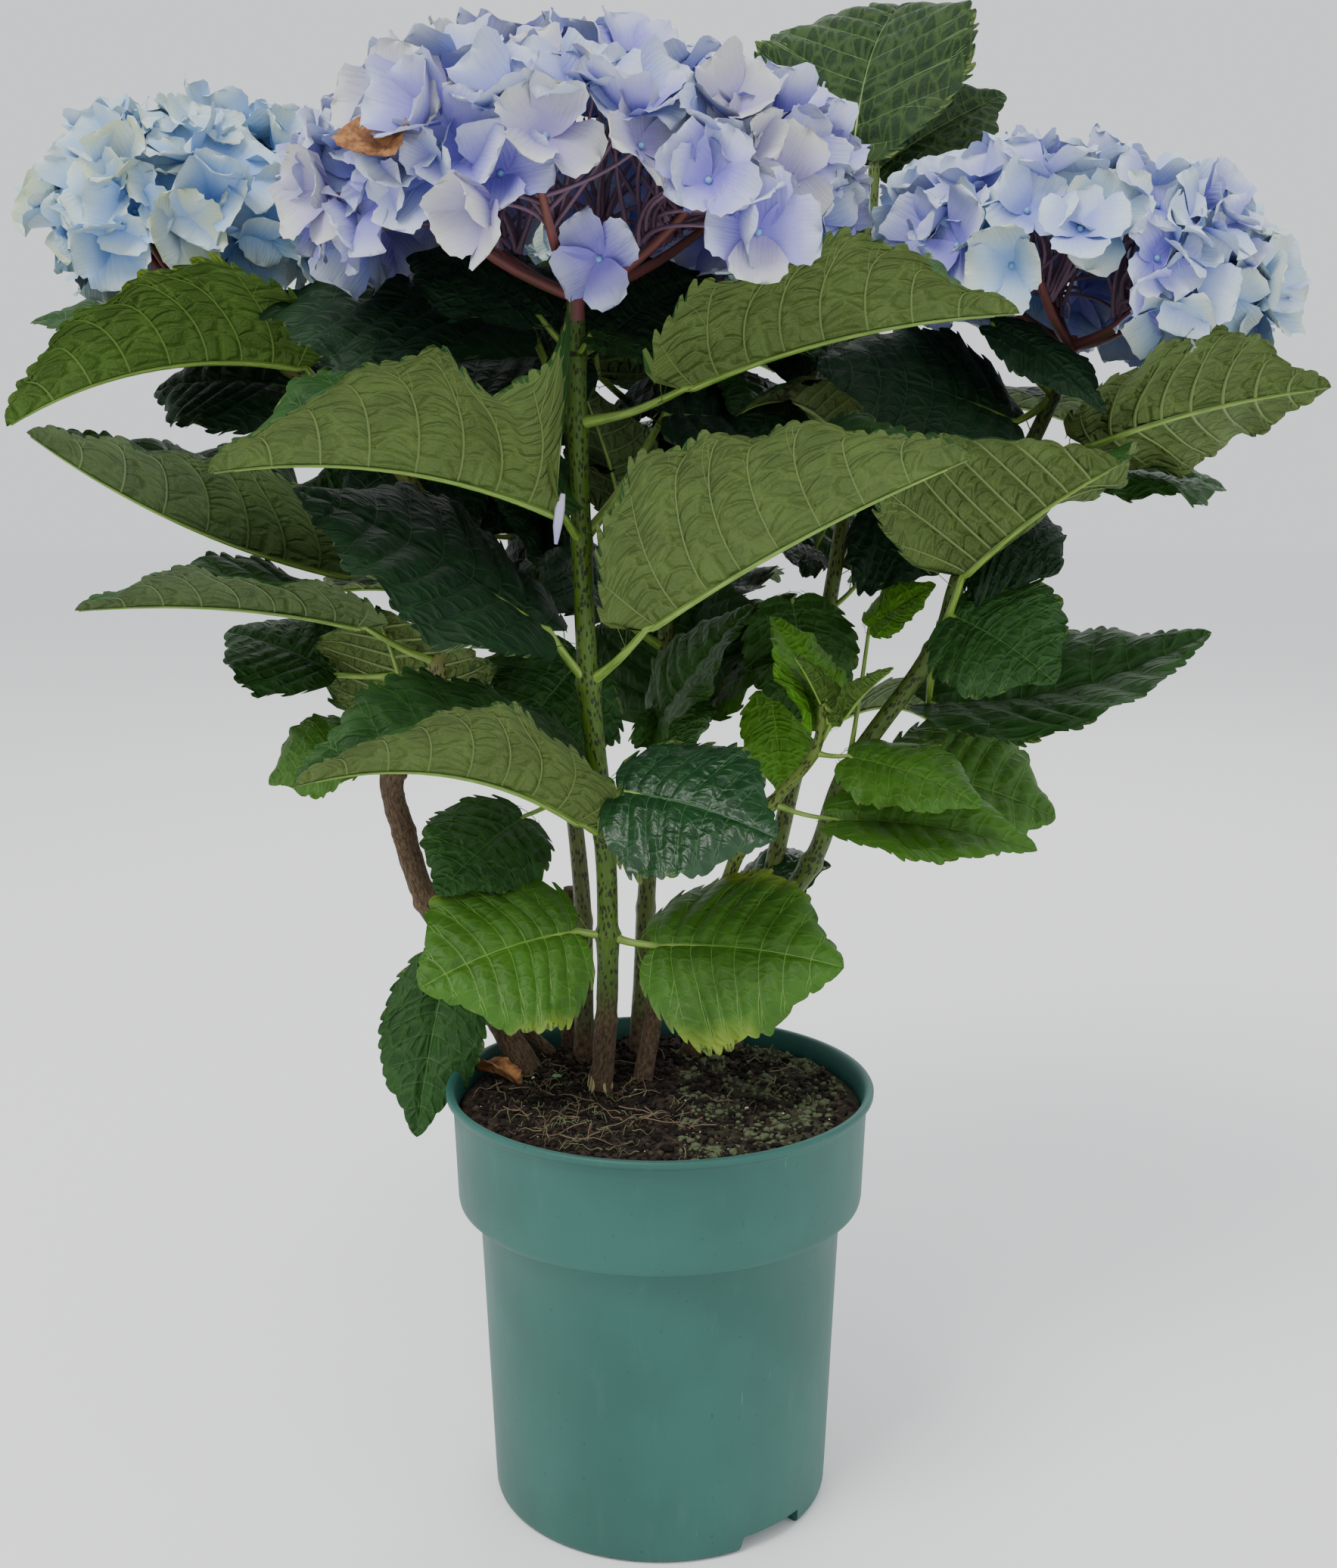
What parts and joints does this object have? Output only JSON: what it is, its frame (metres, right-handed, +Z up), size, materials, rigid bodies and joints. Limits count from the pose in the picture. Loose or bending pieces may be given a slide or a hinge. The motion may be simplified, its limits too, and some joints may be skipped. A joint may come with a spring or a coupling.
{
  "type": "hydrangea shrub in a pot",
  "caption": "Mophead hydrangea with pale blue flower heads and toothed green leaves, growing in a teal nursery pot.",
  "frame": {"origin": "centre of the pot's flat underside", "axes": "+Z up along the pot's axis, -Y towards the plant's front, +X to the right seen from the front"},
  "size_m": [0.5686, 0.3783, 0.6782],
  "materials": {
    "pot_plastic": "matte teal moulded plastic",
    "potting_soil": "moist peat crumbs",
    "woody_stem": "brown flaking bark",
    "green_stem": "smooth green stem with dark flecks",
    "leaf_green": "satin leaf",
    "petals": "soft pale blue sepals"
  },
  "bodies": {
    "root": {"pot": "pot_plastic", "soil": "potting_soil", "stem_stub": "woody_stem", "stem_front": "green_stem", "leaves_front": "leaf_green", "stem_left": "woody_stem", "leaves_left": "leaf_green", "stem_right": "green_stem", "leaves_right": "leaf_green", "stem_side": "green_stem", "leaves_side": "leaf_green", "stem_low": "green_stem", "leaves_low": "leaf_green", "stem_back": "green_stem", "leaves_back": "leaf_green", "stem_back_left": "green_stem", "leaves_back_left": "leaf_green", "stem_back_right": "green_stem", "leaves_back_right": "leaf_green", "bloom_front": "petals", "bloom_left": "petals", "bloom_right": "petals", "bloom_back": "petals"}
  },
  "joints": []
}
